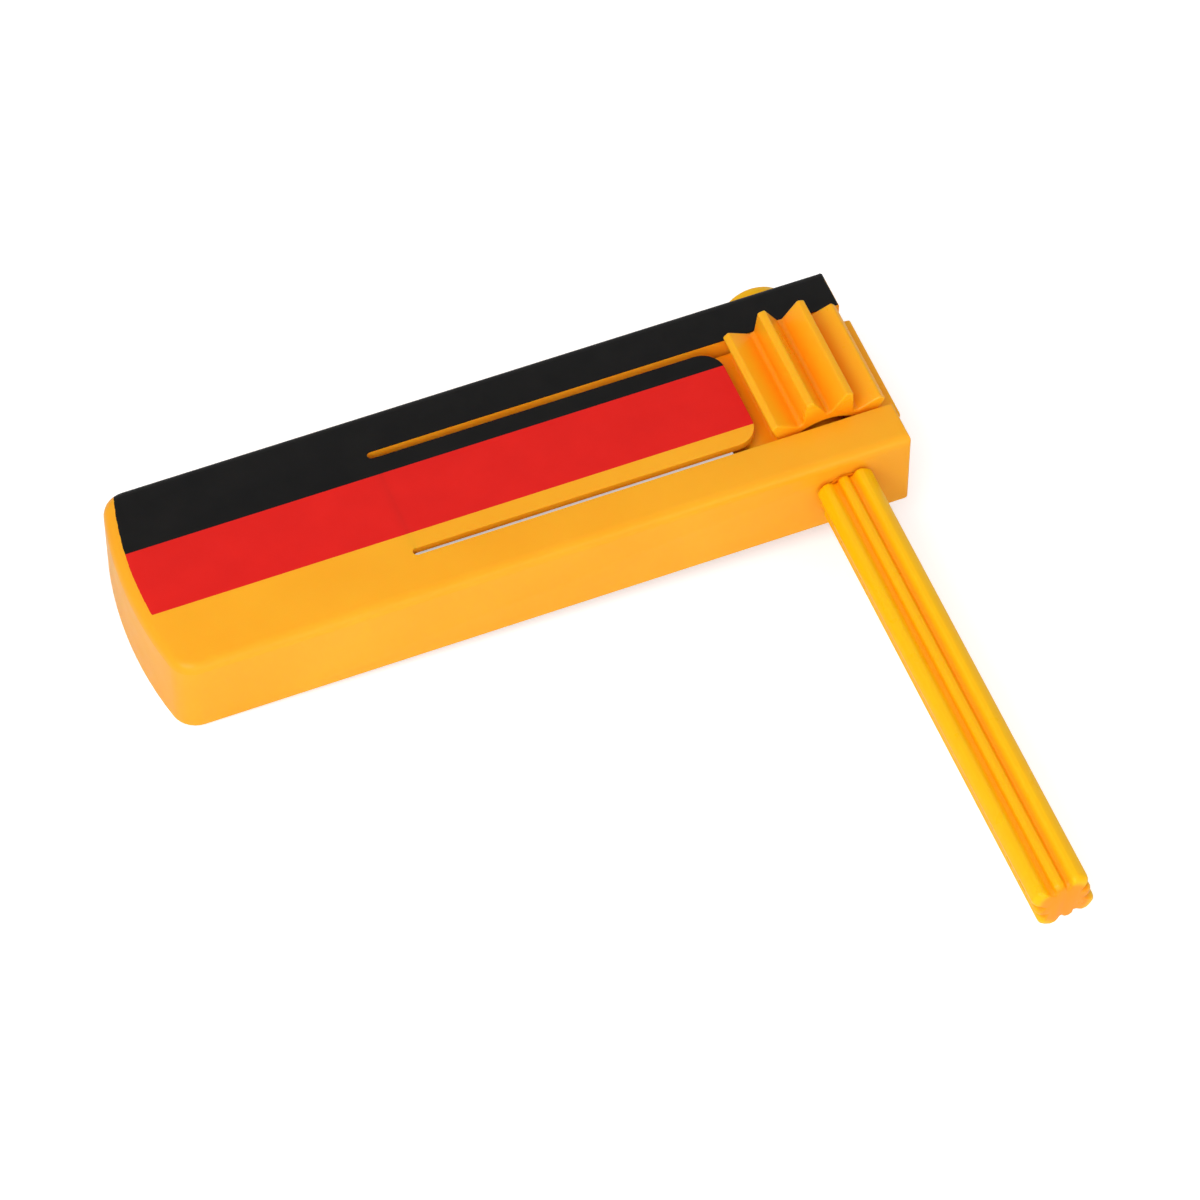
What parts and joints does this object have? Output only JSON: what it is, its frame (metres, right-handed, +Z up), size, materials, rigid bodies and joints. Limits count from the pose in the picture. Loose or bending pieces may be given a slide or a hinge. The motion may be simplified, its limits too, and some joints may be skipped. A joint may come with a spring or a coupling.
{
  "type": "hand ratchet",
  "caption": "Plastic hand ratchet: toothed wheel on a fluted handle flicks a springy tongue cut from a hollow striped body.",
  "frame": {"origin": "middle of the whole object's footprint, at the height of the wheel's lowest tooth", "axes": "+X along the body towards the wheel, +Y away from the handle, +Z up out of the striped face"},
  "size_m": [0.1674, 0.1642, 0.0343],
  "materials": {
    "housing_plastic": "satin moulded plastic",
    "rotor_plastic": "satin moulded plastic"
  },
  "bodies": {
    "body": {"housing": "housing_plastic"},
    "spring_tongue": {"tongue": "housing_plastic"},
    "rotor": {"ratchet_wheel": "rotor_plastic", "axle": "rotor_plastic", "handle": "rotor_plastic", "end_cap": "rotor_plastic"}
  },
  "joints": [
    {"name": "wheel_turn", "type": "hinge", "parent": "body", "child": "rotor", "pos_m": [0.06657, 0.05385, 0.01716], "axis": [0, 1, 0], "continuous": true},
    {"name": "tongue_flick", "type": "hinge", "parent": "body", "child": "spring_tongue", "pos_m": [-0.02483, 0.05385, 0.02621], "axis": [0, -1, 0], "range_deg": [-1.2, 4], "stiffness_Nm_per_rad": 0.85}
  ]
}
